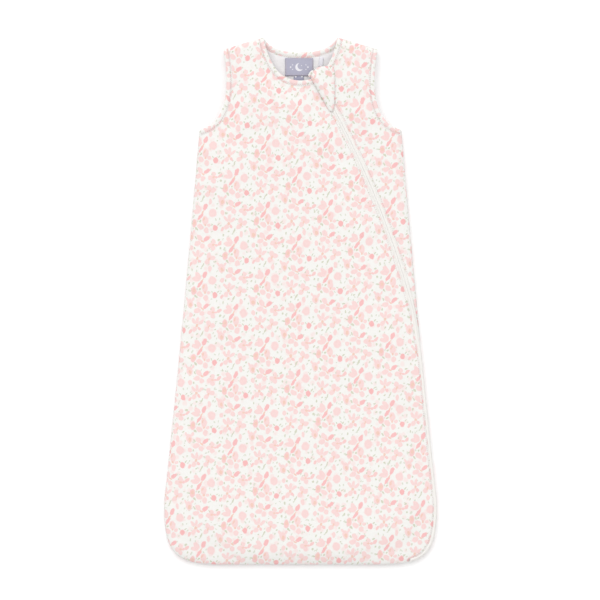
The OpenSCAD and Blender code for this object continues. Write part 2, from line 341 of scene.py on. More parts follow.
def hexes(loop, step):
    lo, hi = loop.min(0), loop.max(0)
    rows = []
    y, k = lo[1], 0
    while y < hi[1]:
        x = np.arange(lo[0] + (step / 2 if k % 2 else 0), hi[0], step)
        rows.append(np.column_stack([x, np.full(len(x), y)]))
        y += step * 0.866
        k += 1
    return np.vstack(rows)


def triangles(loop, inner):
    """Triangles over a loop and the points inside it, all the same way round."""
    n = len(loop)
    v, _, tris = geometry.delaunay_2d_cdt([Vector(q) for q in np.vstack([loop, inner])],
                                          [(i, (i + 1) % n) for i in range(n)], [], 1, 1e-4)[:3]
    v = np.array([tuple(q) for q in v])
    f = []
    for tri in tris:
        a, b, c = (v[i] for i in tri)
        area = (b[0] - a[0]) * (c[1] - a[1]) - (b[1] - a[1]) * (c[0] - a[0])
        if abs(area) > 1e-4:
            f.append(tuple(tri) if area > 0 else tuple(reversed(tri)))
    return v, f


def net_over(loop, step, gap):
    """Triangles over a loop with an even net that keeps a gap from it, and each point's distance to it."""
    net = hexes(loop, step)
    net = net[inside(net, loop)]
    v, f = triangles(loop, net[nearest(net, closed(loop))[0] > gap])
    return v, f, nearest(v, closed(loop))[0]


RINGS = (0.12, 0.5, 1.2, 2.2, 3.6, 5.4, 7.6, 10.4, 14.0, 18.5)
LIP_RINGS = (0.4, 1.1, 2.2, 4.0)
THIN = 0.8


def filled(loop, step, rings=RINGS, lips=()):
    """Triangles that fill a loop: close rows along sewn edges and lips, an even net elsewhere."""
    rows = []
    for k, edge in enumerate([low_edge] + [resampled(s, 3) for s in (shoulder_r, shoulder_l)]):
        rows += [(moved(resampled(edge, 3.2 if d < 4 else 4.4), -d), d * 0.93) for d in rings if not k or d <= 8]
    for lip in lips:
        rows += [(moved(resampled(lip, 3.2), sign * d), d * 0.9) for d in LIP_RINGS for sign in (-1, 1)]
    net = hexes(loop, step)
    if rings:
        net = net[edge_facts(net)[0] > rings[-1] * 0.93 + 0.45 * step]
    for lip in lips:
        net = net[nearest(net, lip)[0] > LIP_RINGS[-1] + 0.45 * step]
    rows.append((net, 0.5 * step))
    pts = np.vstack([p for p, _ in rows])
    need = np.concatenate([np.full(len(p), gap) for p, gap in rows])
    ok = inside(pts, loop)
    pts, need = pts[ok], need[ok]
    pts = pts[nearest(pts, closed(loop))[0] > need]
    # Points from two rows that fall together are thinned
    cells = set()
    keep = []
    for i, (x, y) in enumerate(pts):
        key = (int(x // THIN), int(y // THIN))
        if i >= len(pts) - len(net) or key not in cells:
            cells.add(key)
            keep.append(i)
    return triangles(loop, pts[keep])


def flat_map(mesh, uv):
    """The UV map that the materials read: the cloth's own flat coordinates, from mm."""
    index = np.zeros(len(mesh.loops), int)
    mesh.loops.foreach_get("vertex_index", index)
    mesh.uv_layers.new(name="Flat").data.foreach_set("uv", (np.asarray(uv)[index] * MM).astype(np.float32).ravel())


def shaded_smooth(mesh):
    mesh.polygons.foreach_set("use_smooth", [True] * len(mesh.polygons))


def make(name, verts, faces, material, uv):
    """A mesh object from points in mm, with the cloth's own flat coordinates as its UV map."""
    mesh = bpy.data.meshes.new(name)
    mesh.from_pydata([tuple(q) for q in np.asarray(verts) * MM], [], [tuple(int(i) for i in f) for f in faces])
    flat_map(mesh, uv)
    shaded_smooth(mesh)
    mesh.materials.append(material)
    mesh.validate()
    mesh.update()
    return linked(name, mesh)


def thicken(obj, thickness, offset=-1.0):
    """Gives a sheet its thickness in mm, and applies it to the mesh."""
    m = obj.modifiers.new("thick", "SOLIDIFY")
    m.thickness = thickness * MM
    m.offset = offset
    m.use_even_offset = m.use_quality_normals = m.use_rim = True
    m.thickness_clamp = 0.0
    deps = bpy.context.evaluated_depsgraph_get()
    deps.update()
    mesh = bpy.data.meshes.new_from_object(obj.evaluated_get(deps), preserve_all_data_layers=True, depsgraph=deps)
    old = obj.data
    obj.modifiers.clear()
    obj.data = mesh
    bpy.data.meshes.remove(old)
    mesh.name = obj.name
    shaded_smooth(mesh)
    return obj


def swept(rows, tube=True):
    """Faces over a grid of points: rows along a path, each row one section. A tube has closed ends."""
    rows = np.asarray(rows)
    n, m = rows.shape[:2]
    faces = [(i * m + j, (i + 1) * m + j, (i + 1) * m + (j + 1) % m, i * m + (j + 1) % m)
             for i in range(n - 1) for j in range(m if tube else m - 1)]
    if tube:
        faces += [tuple(range(m)), tuple(reversed(range((n - 1) * m, n * m)))]
    return rows.reshape(-1, rows.shape[2]), faces


# ------------------------------------------------------------------ materials
class Graph:
    """Short hands for building a node tree. Wherever a value goes in, a socket may too."""

    def __init__(self, tree):
        self.tree = tree

    def put(self, socket, value):
        if hasattr(value, "is_output"):
            self.tree.links.new(value, socket)
        elif value is not None:
            socket.default_value = value

    def node(self, kind, inputs, **settings):
        """A new node's outputs, once its settings and its inputs, by name or number, are in."""
        n = self.tree.nodes.new("ShaderNode" + kind)
        for key, value in settings.items():
            setattr(n, key, value)
        for key, value in dict(inputs).items():
            self.put(n.inputs[key], value)
        return n.outputs

    def math(self, op, a, b=None, c=None, clamp=False):
        return self.node("Math", enumerate((a, b, c)), operation=op, use_clamp=clamp)[0]

    def vec(self, op, a, b=None, scale=None):
        out = self.node("VectorMath", {0: a, 1: b, 3: scale}, operation=op)
        return out[1] if op in ("LENGTH", "DOT_PRODUCT") else out[0]

    def uv(self):
        """The cloth's flat coordinates in mm."""
        return self.vec("SCALE", self.node("UVMap", (), uv_map="Flat")[0], scale=1000.0)

    def object_mm(self):
        return self.vec("SCALE", self.node("TexCoord", ())["Object"], scale=1000.0)

    def scaled(self, v, scale, at=(0, 0, 0), kind="TEXTURE"):
        return self.node("Mapping", {"Vector": v, "Location": at, "Scale": scale}, vector_type=kind)[0]

    def turned(self, v, degrees):
        return self.node("Mapping", {"Vector": v, "Rotation": (0, 0, math.radians(degrees))}, vector_type="POINT")[0]

    def noise(self, v, scale, detail=2.0, rough=0.5, colour=False):
        out = self.node("TexNoise", {"Vector": v, "Scale": scale, "Detail": detail, "Roughness": rough})
        return out[1] if colour else out[0]

    def ribs(self, v, pitch, direction="X"):
        """Even stripes, pitch mm apart."""
        return self.node("TexWave", {"Vector": v, "Scale": 0.314 / pitch}, bands_direction=direction)[1]

    def cells(self, v, size, random):
        out = self.node("TexVoronoi", {"Vector": v, "Scale": 1.0 / size, "Randomness": random})
        return out["Distance"]

    def ramp(self, v, lo, hi, to_lo=0.0, to_hi=1.0):
        return self.node("MapRange", enumerate((v, lo, hi, to_lo, to_hi)), interpolation_type="SMOOTHSTEP")[0]

    def mix(self, f, a, b):
        return self.node("Mix", {0: f, 6: a, 7: b}, data_type="RGBA")[2]

    def xyz(self, x, y):
        return self.node("CombineXYZ", {0: x, 1: y})[0]

    def bump(self, height, strength, distance, normal=None):
        return self.node("Bump", {"Strength": strength, "Distance": distance, "Height": height, "Normal": normal})[0]

    def over(self, op, before, now):
        """Joins a value to those before it, if there are any."""
        return now if before is None else self.math(op, before, now)


def material(name, sockets):
    """A material. sockets takes its graph and gives what goes into the shader's sockets."""
    m = bpy.data.materials.new(name)
    m.use_nodes = True
    k = Graph(m.node_tree)
    shader = m.node_tree.nodes["Principled BSDF"].inputs
    for key, value in sockets(k).items():
        k.put(shader[key], value)
    return m


LIGHT = 1.18          # how far the light on a flat face runs over plain white


def srgb(r, g, b):
    """The base colour that shows as this screen colour on a flat, open face."""
    def lin(c):
        c /= 255
        return (c / 12.92 if c <= 0.04045 else ((c + 0.055) / 1.055) ** 2.4) / LIGHT
    return (lin(r), lin(g), lin(b), 1.0)


# The print: a small scattered floral of our own, on a slightly skewed repeat of about 94 x 101 mm.
# Each petal is (across, up, half length, half width, turn), in mm and degrees.
REPEAT_W, REPEAT_H, REPEAT_SKEW, REPEAT_LEAN = 94.0, 101.2, 3.1, 0.56


def blossom(x, y, turns, reach, half_len, half_w):
    return [(x + reach * math.cos(math.radians(t)), y + reach * math.sin(math.radians(t)), half_len, half_w, t)
            for t in turns]


PRINT = [
    {"centre": (2, -6),
     "pale": blossom(-0.5, 2, (128, 172), 7.2, 5.6, 2.9)
     + [(16.5, 0.5, 5.8, 4.8, 90), (5.2, -10.8, 6.3, 3.7, 92), (10.8, -18, 2.6, 2.0, 20),
        (6.8, -25.6, 4.1, 3.0, 88), (-2, -20, 4.7, 3.1, -38)],
     "bold": blossom(2, 2, (66,), 8.2, 5.5, 2.8) + blossom(2.2, 1, (234,), 7.0, 6.4, 2.1),
     "rose": [(-11.6, -14.8, 6.0, 3.4, 84)],
     "coral": [(20.3, -21.7, 4.6, 3.8, 90)],
     "peach": [(-11.4, -14.2, 2.9, 2.1, 80), (5.4, -17.8, 2.0, 1.6, 90), (3.4, -8.8, 3.0, 1.2, 70),
               (1.4, 1.4, 3.4, 1.1, 52)],
     "olive": [(-2, -12.4, 2.1, 1.4, 40), (-7.6, -23.3, 2.6, 1.3, -60), (16, -16.8, 2.1, 0.9, -50),
               (25.3, -16.4, 2.6, 0.9, 45), (22.8, 7.6, 1.4, 1.0, 60), (-16.5, -15, 1.8, 1.1, 10)],
     "sage": [(20.9, -9.2, 1.9, 1.2, -60), (27, -8.3, 2.0, 1.0, 80), (-13, 3.5, 1.8, 1.0, 60),
              (-7, 14.5, 1.8, 1.0, 85), (15, -27.5, 1.6, 1.0, 30), (-13.5, -5.5, 1.7, 1.0, -50),
              (-0.5, 18.5, 1.6, 1.0, 20)]},
    {"centre": (50, -8),
     "pale": blossom(40.6, -15, (84, 40, 124), 7.8, 4.6, 1.9) + blossom(40.6, -15, (238,), 6.6, 3.9, 2.8)
     + blossom(48.6, 9.4, (126, 196), 7.8, 4.7, 3.0) + [(48.2, 3.2, 3.5, 2.9, 88)]
     + blossom(64.6, 4.6, (92, 186, 268), 4.9, 3.5, 2.9)
     + blossom(59, -16.4, (98, 18, 228), 5.0, 4.0, 2.9)
     + [(31.2, 1, 3.3, 2.5, 90), (59.6, -31.2, 4.2, 2.1, 90)],
     "bold": blossom(48.6, 9.4, (38,), 7.6, 5.4, 2.7),
     "rose": blossom(40.6, -15, (306,), 5.6, 2.8, 1.8) + blossom(64.6, 4.6, (2,), 4.2, 2.4, 1.5)
     + [(30.8, -24, 3.4, 1.7, 60)],
     "peach": [(40.6, -15, 2.7, 2.1, 80), (64.6, 4.7, 2.1, 1.5, 0), (58.8, -16.6, 2.7, 1.2, 70),
               (48.8, 10.0, 2.9, 1.3, -30)],
     "olive": [(36.2, 0.3, 2.0, 1.3, 90), (48.7, -26, 4.4, 1.1, 62), (40.6, -27.4, 1.8, 1.2, 30),
               (32.4, -32.8, 2.2, 1.1, 85), (38.4, 14.9, 2.3, 1.3, -60), (67.8, -20.8, 1.6, 1.2, 40),
               (61.6, 9.6, 1.3, 0.9, 60)],
     "sage": [(53, -9.5, 2.0, 1.3, -40), (65, -26.7, 2.1, 1.2, 60), (69.6, -9.4, 1.9, 1.0, 0),
              (30.4, 12.2, 2.1, 1.2, -50), (55.5, -3.5, 1.6, 1.0, 20), (28.2, -18.5, 1.8, 1.0, 30),
              (60, 16.5, 1.7, 1.0, 60)]},
    {"centre": (76, -14),
     "pale": [(77, -30.6, 6.2, 3.8, 98), (72.4, -24.6, 3.1, 1.5, 118), (82, -24.4, 2.9, 1.5, 64)],
     "rose": [(74.3, 7.4, 3.9, 2.0, 48)],
     "peach": [(77.8, -32.2, 3.3, 2.3, 100)],
     "olive": [(72.8, 12.0, 2.4, 1.4, 30), (75.3, -0.2, 1.9, 1.4, 70), (85, -19.5, 2.1, 1.3, -60),
               (84.6, -33.6, 2.6, 1.2, -66)],
     "sage": [(81.5, -0.8, 1.9, 1.4, 80), (75.3, -11, 1.9, 1.2, 0), (80.5, -8.5, 1.5, 0.9, 50),
              (70.5, -34.5, 1.8, 1.0, 60), (88, -9, 1.7, 1.0, 80)]},
]
# The inks in the order they are laid: light and full tone, and how far the petals' length and width grow
INKS = {
    "sage": (srgb(230, 232, 219), srgb(217, 221, 203), 1, 1),
    "pale": (srgb(253, 225, 222), srgb(252, 213, 212), 1.18, 1.30),
    "rose": (srgb(253, 214, 211), srgb(251, 201, 200), 1.14, 1.26),
    "bold": (srgb(253, 199, 199), srgb(252, 187, 188), 1.08, 1.18),
    "coral": (srgb(253, 195, 194), srgb(251, 181, 182), 1.02, 1.04),
    "peach": (srgb(249, 214, 200), srgb(245, 202, 184), 1, 1),
    "olive": (srgb(222, 223, 202), srgb(208, 211, 188), 1, 1),
}


def print_group():
    """A node group: flat cloth coordinates in mm in, the printed colour and the ink's amount out."""
    g = bpy.data.node_groups.new("ditsy_floral", "ShaderNodeTree")
    for name, way, kind in (("Vector", "INPUT", "Vector"), ("Color", "OUTPUT", "Color"), ("Ink", "OUTPUT", "Float")):
        g.interface.new_socket(name, in_out=way, socket_type="NodeSocket" + kind)
    k = Graph(g)
    p = g.nodes.new("NodeGroupInput").outputs[0]
    out = g.nodes.new("NodeGroupOutput").inputs
    # Soft uneven petal edges, as ink takes on cloth
    split = k.node("SeparateColor", {0: k.noise(p, 0.20, 1.5, 0.55, colour=True)})
    wobble = k.vec("SUBTRACT", k.xyz(split[0], split[1]), (0.5, 0.5, 0.0))
    p = k.vec("ADD", p, k.vec("SCALE", wobble, scale=3.4))
    dist = {}
    area = REPEAT_W * REPEAT_H - REPEAT_SKEW * REPEAT_LEAN
    for cluster in PRINT:
        cx, cy = cluster["centre"]
        q = k.vec("SUBTRACT", p, (cx, cy, 0.0))
        cell = k.xyz(k.vec("DOT_PRODUCT", q, (REPEAT_H / area, -REPEAT_LEAN / area, 0.0)),
                     k.vec("DOT_PRODUCT", q, (-REPEAT_SKEW / area, REPEAT_W / area, 0.0)))
        near = []
        for shift in (0.5, 0.0):
            w = k.vec("FRACTION", k.vec("ADD", cell, (shift, shift, 0.0)))
            w = k.vec("SUBTRACT", w, (0.5, 0.5, 0.0))
            near.append(k.xyz(k.vec("DOT_PRODUCT", w, (REPEAT_W, REPEAT_LEAN, 0.0)),
                              k.vec("DOT_PRODUCT", w, (REPEAT_SKEW, REPEAT_H, 0.0))))
        pick = k.math("LESS_THAN", k.vec("LENGTH", near[1]), k.vec("LENGTH", near[0]))
        local = k.node("Mix", {0: pick, 4: near[0], 5: near[1]}, data_type="VECTOR")[1]
        for tone, (_, _, longer, wider) in INKS.items():
            for (x, y, a, b, turn) in cluster.get(tone, ()):
                c, n = math.cos(math.radians(turn)), math.sin(math.radians(turn))
                a, b = a * longer, b * wider
                q = k.vec("SUBTRACT", local, (x - cx, y - cy, 0.0))
                u = k.vec("DOT_PRODUCT", q, (c / a, n / a, 0.0))
                w = k.vec("DOT_PRODUCT", q, (-n / b, c / b, 0.0))
                d = k.math("MULTIPLY_ADD", u, u, k.math("MULTIPLY", w, w))
                dist[tone] = k.over("MINIMUM", dist.get(tone), d)
    wash = k.noise(p, 0.30, 3.0, 0.6)
    fine = k.noise(p, 1.6, 2.0, 0.6)
    colour = k.mix(k.ramp(wash, 0.35, 0.7), srgb(250, 249, 246), srgb(248, 247, 242))
    # Very pale blots under the sprigs
    colour = k.mix(k.ramp(k.cells(p, 11.5, 0.9), 0.20, 0.44, 0.85, 0.0), colour, srgb(252, 234, 231))
    # Small dashes scattered between the sprigs
    for turn, size, shift in ((62, 5.8, 0.0), (-40, 7.2, 31.0)):
        c, n = math.cos(math.radians(turn)), math.sin(math.radians(turn))
        q = k.xyz(k.vec("DOT_PRODUCT", p, (c * 0.55, n * 0.55, 0.0)), k.vec("DOT_PRODUCT", p, (-n, c, 0.0)))
        spots = k.cells(k.vec("ADD", q, (shift, shift, 0.0)), size, 0.85)
        d = k.math("MULTIPLY", spots, size / 1.05)
        dist["sage"] = k.math("MINIMUM", dist["sage"], k.math("MULTIPLY", d, d))
    ink = None
    for tone, (light, full, _, _) in INKS.items():
        d = dist[tone]
        edge = k.ramp(d, 0.50, 1.22, 1.0, 0.0)
        depth = k.math("MULTIPLY_ADD", d, 0.45, k.math("MULTIPLY", wash, 0.6), clamp=True)
        strength = k.math("MULTIPLY", edge, k.ramp(fine, 0.2, 0.6, 0.82, 1.0))
        colour = k.mix(strength, colour, k.mix(depth, light, full))
        ink = k.over("MAXIMUM", ink, edge)
    k.put(out["Color"], colour)
    k.put(out["Ink"], ink)
    return g


FLORAL = print_group()
PRINT_AT = (-55.2, -67.85)


def printed_cotton(k, turn):
    uv = k.turned(k.uv(), turn) if turn else k.uv()
    printed = k.node("Group", {0: uv}, node_tree=FLORAL)
    # Threads both ways under a soft uneven surface
    weave = k.math("MAXIMUM", k.ribs(uv, 0.42), k.ribs(uv, 0.42, "Y"))
    n = k.bump(k.noise(uv, 0.09, 3.0, 0.55), 0.12, 0.004)
    n = k.bump(k.noise(k.scaled(uv, (0.5, 3.5, 1)), 0.7), 0.10, 0.0006, n)
    return {"Base Color": printed["Color"], "Normal": k.bump(weave, 0.22, 0.00018, n),
            "Roughness": k.ramp(printed["Ink"], 0.0, 1.0, 0.86, 0.80), "Sheen Weight": 0.12,
            "Sheen Roughness": 0.45, "Specular IOR Level": 0.18}


def jersey(k):
    """Fine knit: columns of small V stitches."""
    uv = k.uv()
    wales = k.ribs(uv, 0.95)
    courses = k.ribs(k.turned(uv, 38), 0.7, "Y")
    patch = k.noise(uv, 0.05)
    c = k.mix(k.ramp(patch, 0.3, 0.7), srgb(250, 248, 248), srgb(245, 243, 245))
    c = k.mix(k.math("MULTIPLY", wales, 0.12), c, srgb(230, 227, 231))
    n = k.bump(k.math("MULTIPLY", wales, courses), 0.35, 0.0003)
    n = k.bump(k.noise(uv, 0.8, 3.0, 0.6), 0.12, 0.0008, n)
    return {"Base Color": c, "Normal": k.bump(patch, 0.25, 0.006, n), "Roughness": 0.9, "Sheen Weight": 0.2,
            "Specular IOR Level": 0.12}


def twill_tape(k):
    uv = k.uv()
    ribs = k.ribs(k.turned(uv, 45), 0.6)
    cross = k.ribs(uv, 0.35, "Y")
    c = k.mix(ribs, srgb(257, 255, 251), srgb(251, 248, 243))
    c = k.mix(k.math("MULTIPLY", k.noise(uv, 0.3), 0.3), c, srgb(248, 244, 239))
    n = k.bump(k.math("ADD", ribs, k.math("MULTIPLY", cross, 0.4)), 0.4, 0.00025)
    return {"Base Color": c, "Normal": n, "Roughness": 0.78, "Specular IOR Level": 0.25}


def nylon(k):
    uv = k.uv()
    tone = k.noise(uv, 0.5)
    return {"Base Color": k.mix(tone, srgb(252, 250, 247), srgb(245, 242, 238)),
            "Roughness": k.ramp(tone, 0.3, 0.7, 0.34, 0.46),
            "Normal": k.bump(k.noise(uv, 3.0), 0.1, 0.0001), "Coat Weight": 0.1}


def thread(k):
    twist = k.ribs(k.turned(k.uv(), 30), 0.22)
    return {"Base Color": k.mix(twist, srgb(232, 208, 206), srgb(214, 188, 187)),
            "Normal": k.bump(twist, 0.4, 0.0001), "Roughness": 0.6, "Sheen Weight": 0.2}


def satin(k, ground, motif=None, pattern=None):
    """A fine woven label; pattern gives the motif's amount from coordinates in mm."""
    uv = k.uv()
    rows = k.ribs(uv, 0.28, "Y")
    base = ground
    for amount, dark in ((k.math("MULTIPLY", k.noise(uv, 0.4), 0.5), 0.9), (k.math("MULTIPLY", rows, 0.18), 0.82)):
        base = k.mix(amount, base, tuple(c * dark for c in ground[:3]) + (1.0,))
    n = k.bump(k.math("ADD", rows, k.math("MULTIPLY", k.ribs(uv, 0.5), 0.5)), 0.35, 0.00015)
    if pattern:
        amount = pattern(k, uv)
        base = k.mix(amount, base, motif)
        n = k.bump(amount, 0.3, 0.0002, n)
    return {"Base Color": base, "Normal": n, "Roughness": 0.48, "Sheen Weight": 0.25}


def dots(k, uv, spots, amount=None):
    """Round dots, each (across, up, radius)."""
    for (x, y, r) in spots:
        d = k.vec("LENGTH", k.scaled(uv, (r, r, 1), (x, y, 0)))
        amount = k.over("MAXIMUM", amount, k.ramp(d, 0.85, 1.1, 1.0, 0.0))
    return amount


def moon_and_dots(k, uv):
    """A plain crescent between dots: a generic mark."""
    big = k.vec("LENGTH", k.scaled(uv, (6.2, 6.2, 1)))
    bite = k.vec("LENGTH", k.scaled(uv, (5.2, 5.2, 1), (2.6, 1.6, 0)))
    moon = k.math("MULTIPLY", k.ramp(big, 0.94, 1.0, 1.0, 0.0), k.ramp(bite, 0.96, 1.04, 0.0, 1.0))
    sides = [spot for x in (-1, 1) for spot in ((13 * x, 0, 1.2), (10 * x, 3.4, 0.8), (10 * x, -3.4, 0.8))]
    return dots(k, uv, sides + [(3.2, 2.2, 0.7)], moon)


def two_dots(k, uv):
    return dots(k, uv, [(-4.6, 2.4, 1.5), (4.6, 2.4, 1.5)])


def nickel(k):
    p = k.object_mm()
    brush = k.noise(k.scaled(p, (0.15, 6.0, 1.0), kind="POINT"), 2.0, 3.0)
    return {"Base Color": k.mix(k.noise(p, 0.6, 3.0), (0.62, 0.62, 0.64, 1), (0.50, 0.50, 0.52, 1)),
            "Roughness": k.ramp(brush, 0.3, 0.7, 0.22, 0.36), "Normal": k.bump(brush, 0.08, 0.0001), "Metallic": 1.0}


M_PRINT = material("printed_cotton", lambda k: printed_cotton(k, 0))
M_BIAS = material("bias_binding", lambda k: printed_cotton(k, 45))
M_LINING = material("lining_jersey", jersey)
M_TAPE = material("zip_tape", twill_tape)
M_COIL = material("zip_coil", nylon)
M_THREAD = material("sewing_thread", thread)
M_METAL = material("slider_metal", nickel)
M_LABEL = material("woven_label", lambda k: satin(k, srgb(186, 185, 205), srgb(246, 245, 250), moon_and_dots))
M_SIZE = material("size_label", lambda k: satin(k, srgb(176, 176, 200), srgb(250, 249, 252), two_dots))
M_CARE = material("care_label", lambda k: satin(k, srgb(246, 244, 251)))


# ------------------------------------------------------------------ how the padded front swells
def swell():
    """A cloth simulation of the whole front, held along its seams, bindings and zip.
    Its rise above the flat is kept as a grid, and every layer of the front is laid over it."""
    outline = resampled(closed(FRONT_LOOP), 9)[:-1]
    v, f = filled(outline, 9.0, rings=())
    mesh = bpy.data.meshes.new("swell")
    mesh.from_pydata([(x * MM, y * MM, TOP_Z * MM) for x, y in v], [], f)
    obj = linked("swell", mesh)
    d_edge, d_zip = nearest(v, closed(outline))[0], nearest(v, zip_path)[0]
    hold = obj.vertex_groups.new(name="hold")
    for i, w in enumerate(np.maximum(1 - smooth((d_edge - 2) / 10), 1 - smooth((d_zip - 6) / 10))):
        if w > 0.01:
            hold.add([i], float(w), "REPLACE")
    cloth = obj.modifiers.new("Cloth", "CLOTH")
    st = cloth.settings
    st.quality = 6
    st.mass = 0.3
    st.tension_stiffness = 25
    st.compression_stiffness = 18
    st.shear_stiffness = 8
    st.bending_stiffness = 4.0
    st.vertex_group_mass = "hold"
    st.pin_stiffness = 1
    st.shrink_min = -0.014
    st.use_pressure = True
    st.uniform_pressure_force = 4.0
    st.effector_weights.gravity = 0
    cloth.collision_settings.use_collision = False
    for frame_no in range(1, 21):
        scene.frame_set(frame_no)
    out = obj.evaluated_get(bpy.context.evaluated_depsgraph_get()).to_mesh()
    tree = BVHTree.FromPolygons([tuple(np.array(p.co) / MM) for p in out.vertices],
                                [tuple(p.vertices) for p in out.polygons])
    grid = np.zeros((len(GX), len(GY)))
    for i, x in enumerate(GX):
        for j, y in enumerate(GY):
            hit = tree.ray_cast(Vector((x, y, 400.0)), Vector((0, 0, -1)))[0]
            if hit is not None:
                grid[i, j] = hit.z - TOP_Z
    scene.frame_set(1)
    bpy.data.objects.remove(obj)
    bpy.data.meshes.remove(mesh)
    return grid


def soften(grid):
    g = np.pad(grid, 1, mode="edge")
    return (g[:-2, 1:-1] + g[2:, 1:-1] + g[1:-1, :-2] + g[1:-1, 2:] + 4 * g[1:-1, 1:-1]) / 8


PUFF_CAP = 6.0
spots = np.array([(x, y) for x in GX for y in GY])
raw = swell()
raw = soften(soften(raw))
raw = PUFF_CAP * (1 - np.exp(-np.maximum(raw, 0) / PUFF_CAP))
to_binding = np.min([nearest(spots, edge)[0] for edge in (front_neck, armhole_r, armhole_l)], axis=0)
to_zip = nearest(spots, zip_path)[0]
calm = smooth((to_binding - 4) / 34) * (0.08 + 0.92 * smooth((to_zip - 7) / 30))
waves = creases(spots) * smooth((to_zip - 7) / 22) * smooth((to_binding - 2) / 20)
puff_grid = soften(raw * calm.reshape(raw.shape) + waves.reshape(raw.shape))

# ------------------------------------------------------------------ the cloth panels
FLAP = "front_flap"
BENDS = "bends with the flap"


def place(obj, body, slot=None, *nodes):
    """The CAD nodes a piece stands for, and its body; slot is not used. A piece whose body is BENDS
    has its transform applied and is not attached to any body."""
    if nodes:
        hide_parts(*nodes)
    if body == BENDS:
        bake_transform(obj)
    else:
        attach(obj, body)
    return obj


EDGE_IN = 0.9


def lip_below_neck(v, end):
    """The cloth's edge beside the zip, from where it clears the neckline."""
    path = zip_place(np.arange(-6, end, 3.2), v, 0.0)[:, :2]
    return path[np.argmax(inside(path, FRONT_LOOP) & (nearest(path, front_neck)[0] >= EDGE_IN)):]


def along_shoulder(a, b):
    """The points between a and b on the shoulder, kept below its sewn line."""
    p = resampled(np.vstack([a, b]), 4)[1:-1]
    line = SHOULDER[1] + (np.abs(p[:, 0]) - SHOULDER[0]) * (NECK_Y - SHOULDER[1]) / (NECK_HALF - SHOULDER[0])
    p[:, 1] = np.clip(p[:, 1], None, line)
    return p


neck_in = moved(front_neck, -EDGE_IN)
arm_l_in = moved(armhole_l, -EDGE_IN)
arm_l_even = resampled(arm_l_in, 4)
arm_r_in = resampled(moved(armhole_r, -EDGE_IN), 4)

# The front's left and main part: from the neck down the zip's left lip, and round by the hem
lip_l = lip_below_neck(-ZIP_HALF, ZIP_END + 1.5)
neck_left = resampled(np.vstack([neck_in[:nearest(lip_l[:1], neck_in)[2][0]], lip_l[:1]]), 4)
foot = low_edge[nearest(lip_l[-1:], low_edge)[2][0] + 1:]
loop_main = np.vstack([neck_left[:-1], lip_l, foot, arm_l_even[1:], along_shoulder(arm_l_in[-1], neck_left[0])])

# The front's right part: between the zip's right lip and the right edge
lip_r = lip_below_neck(ZIP_HALF, 470)
lip_r = lip_r[:np.argmax((nearest(lip_r, low_edge)[0] < 1.4) & (lip_r[:, 1] < 60)) or len(lip_r)]
neck_right = resampled(np.vstack([lip_r[:1], neck_in[nearest(lip_r[:1], neck_in)[2][0] + 1:]]), 4)
side_stop = low_edge[(low_edge[:, 0] > 0) & (low_edge[:, 1] > lip_r[-1][1] - 1)]
loop_side = np.vstack([neck_right, along_shoulder(neck_right[-1], arm_r_in[0]), arm_r_in, side_stop[1:],
                       lip_r[::-1][:-1]])

# The back, whole
back_in = resampled(moved(back_neck, -EDGE_IN), 4)
loop_back = np.vstack([back_in, along_shoulder(back_in[-1], arm_r_in[0]), arm_r_in, low_edge[1:],
                       arm_l_even[1:], along_shoulder(arm_l_even[-1], back_in[0])])


def flat_uv(p):
    """Flat cloth coordinates, from the print's own origin. Rolled edges are laid out flat."""
    d, q, r = edge_facts(p)
    extra = np.zeros(len(d))
    for i in np.where(d < r)[0]:
        th, arc = arc_table(r[i], 8.0)
        t = np.interp(math.acos(max(-1.0, min(1.0, 1 - d[i] / r[i]))), th, arc)
        extra[i] = (arc[-1] - t) - (r[i] - d[i])
    out = (q - p) / np.maximum(d, 1e-6)[:, None]
    return p + out * extra[:, None] - np.array(PRINT_AT)


def front_piece(name, loop, lip):
    """A panel of the front, whose folded edge beside the zip curls down a little."""
    v, f = filled(loop, 6.0, lips=[lip])
    drop = 1.15 * (1 - profile(nearest(v, lip)[0] / 2.6)) * smooth(edge_facts(v)[0] / 6)
    return make(name, np.column_stack([v, front_z(v) - drop]), f, M_PRINT, flat_uv(v))


def panel(obj, body, *nodes):
    thicken(obj, PAD_T)
    place(obj, body, "printed_cotton", *nodes)


panel(front_piece("cloth_front", loop_main, lip_l), BENDS,
      "front_shell", "front_padding", "flap_shell", "flap_padding")
panel(front_piece("cloth_side", loop_side, lip_r), "root", "side_shell", "side_padding")
v, f = filled(loop_back, 8.0)
panel(make("cloth_back", np.column_stack([v, back_z(v)]), [tuple(reversed(t)) for t in f], M_PRINT,
           flat_uv(v) * [-1, 1] + [20.0, 30.0]), "root", "back_shell", "back_padding")


# ------------------------------------------------------------------ linings
def front_lining_z(p):
    """The lining hangs looser where the flap bends, so that the bent layers stay apart."""
    beyond = (p - FOLD_A) @ FOLD_OUT
    loose = smooth((beyond + 8) / 14) * (1 - smooth((beyond - 42) / 18))
    return front_z(p, drop=3.1) - 2.0 * loose * smooth((edge_facts(p)[0] - 2) / 8)


def back_lining_z(p):
    return back_z(p, rise=2.85) + 0.35 * creases(p * 1.3 + 40.0) * smooth(nearest(p, back_neck)[0] / 30)


def lining(name, loop, inset, height, step, rests_on, body, *nodes):
    """A sheet inside a panel's outline. The outline runs clockwise, so inside is to its right."""
    loop = resampled(moved(np.vstack([loop[-1:], loop, loop[:1]]), -inset)[1:-1], 6)
    v, f = filled(loop, step, rings=())
    obj = make(name, np.column_stack([v, height(v)]), f, M_LINING, v)
    thicken(obj, LINING_T, offset=0.0)
    place(obj, body, "lining_jersey", *nodes)


